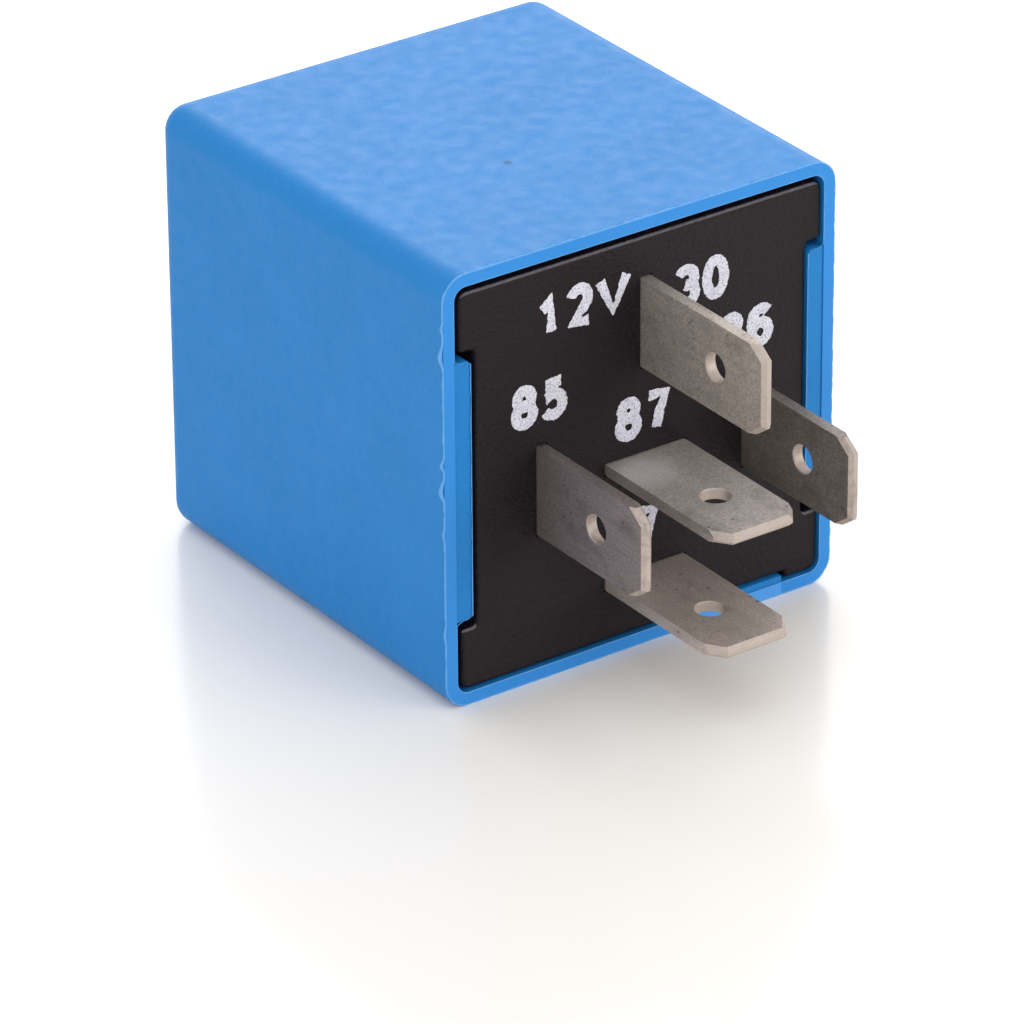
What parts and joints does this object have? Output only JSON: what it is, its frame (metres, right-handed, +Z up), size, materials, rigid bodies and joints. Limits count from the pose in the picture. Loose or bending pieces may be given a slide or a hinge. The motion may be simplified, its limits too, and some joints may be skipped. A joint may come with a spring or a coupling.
{
  "type": "plug-in relay",
  "caption": "Box-shaped plug-in relay with a blue cover, a black base with flat blade terminals, and a coil, yoke and hinged armature inside.",
  "frame": {"origin": "middle of the cover's outline, on the base's seating face", "axes": "-Y out along the blades, +Y into the cover, +Z up with the relay lying on its side as in use on a table, +X to the right when the blades are looked at"},
  "size_m": [0.031, 0.0455, 0.0308],
  "materials": {
    "cover_plastic": "moulded blue plastic, fine grain",
    "base_plastic": "moulded black plastic, fine texture",
    "blade_metal": "tin-plated brass, dull grey-brown",
    "iron": "zinc-plated iron, satin",
    "bobbin_plastic": "natural glass-filled nylon",
    "copper": "enamelled copper wire",
    "resistor_lacquer": "lacquered ceramic",
    "lead_wire": "tinned copper wire",
    "solder": "tin solder",
    "spring_bronze": "rolled bronze strip",
    "contact_silver": "silver alloy",
    "rivet_metal": "brass"
  },
  "bodies": {
    "root": {"base": "base_plastic", "terminal_30": "blade_metal", "terminal_85": "blade_metal", "terminal_86": "blade_metal", "terminal_87_centre": "blade_metal", "terminal_87_lower": "blade_metal", "terminal_rivets": "rivet_metal", "yoke": "iron", "yoke_rivets": "rivet_metal", "core": "iron", "bobbin": "bobbin_plastic", "coil_winding": "copper", "coil_lead_85": "copper", "coil_lead_86": "copper", "resistor_body": "resistor_lacquer", "resistor_leads": "lead_wire", "solder_joints": "solder", "fixed_contact": "contact_silver", "stop_bracket": "iron"},
    "armature_group": {"armature": "iron", "armature_rivets": "rivet_metal", "contact_spring": "spring_bronze", "moving_contact": "contact_silver"},
    "cover": {"cover": "cover_plastic"}
  },
  "joints": [
    {"name": "armature_hinge", "type": "hinge", "parent": "root", "child": "armature_group", "pos_m": [0.00045, 0.02485, 0.0109], "axis": [-1, 0, 0], "range_deg": [0, 2.5], "stiffness_Nm_per_rad": 0.05, "springref_deg": -6.88, "deforming": ["contact_spring"]},
    {"name": "cover_pull", "type": "slide", "parent": "root", "child": "cover", "axis": [0, 1, 0], "range_m": [0, 0.034]}
  ]
}
